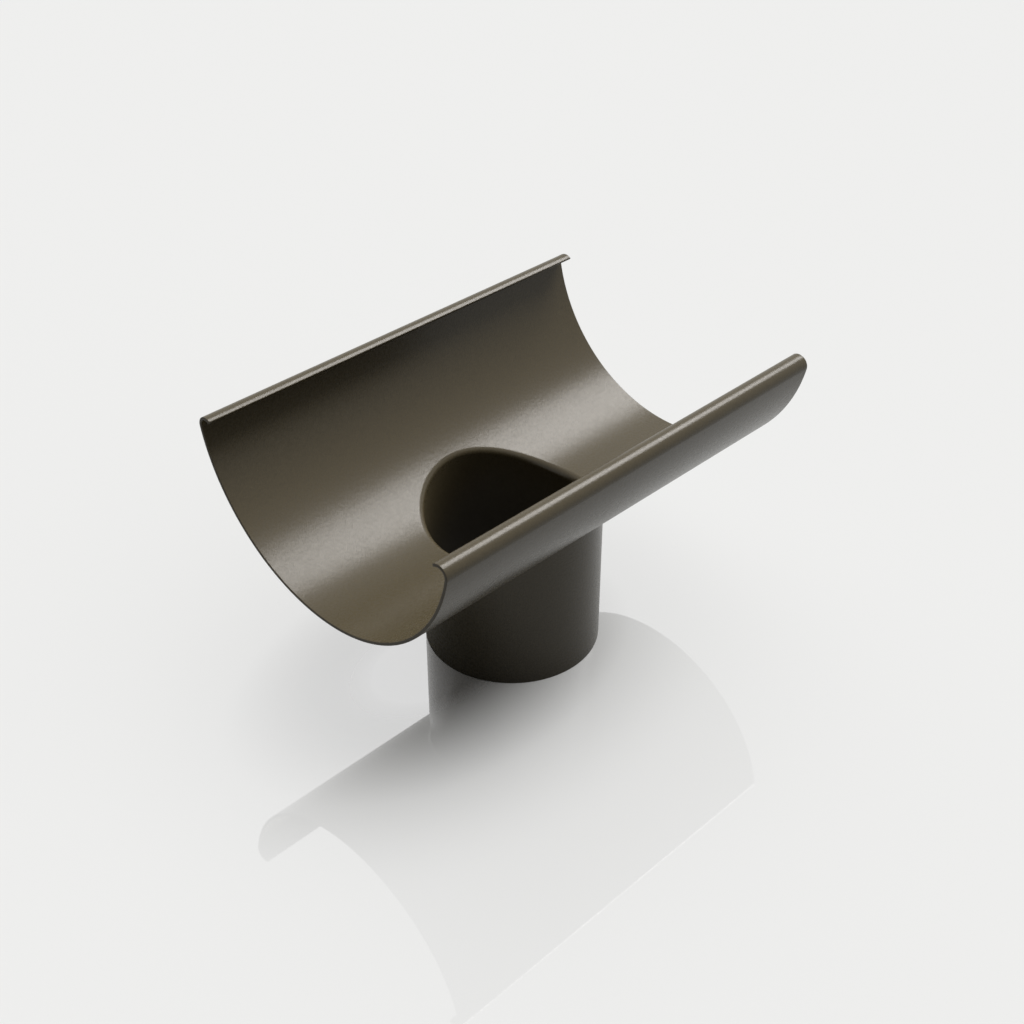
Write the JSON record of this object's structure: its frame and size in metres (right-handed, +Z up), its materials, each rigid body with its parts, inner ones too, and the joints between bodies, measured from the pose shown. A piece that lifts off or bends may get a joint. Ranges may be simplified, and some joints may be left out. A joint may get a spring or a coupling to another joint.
{
  "type": "gutter outlet",
  "caption": "Half-round gutter outlet: an open sheet-metal trough with inward hooked edges and a round spigot drawn from its floor for a downpipe.",
  "frame": {"origin": "centre of the spigot's foot, on the surface that the outlet stands on", "axes": "+X along the trough, +Y across it, +Z up along the spigot's centre line"},
  "size_m": [0.18, 0.1252, 0.1101],
  "materials": {
    "coated_sheet": "fine-textured satin powder coat, dark umber brown"
  },
  "bodies": {
    "root": {"gutter_outlet": "coated_sheet"}
  },
  "joints": []
}
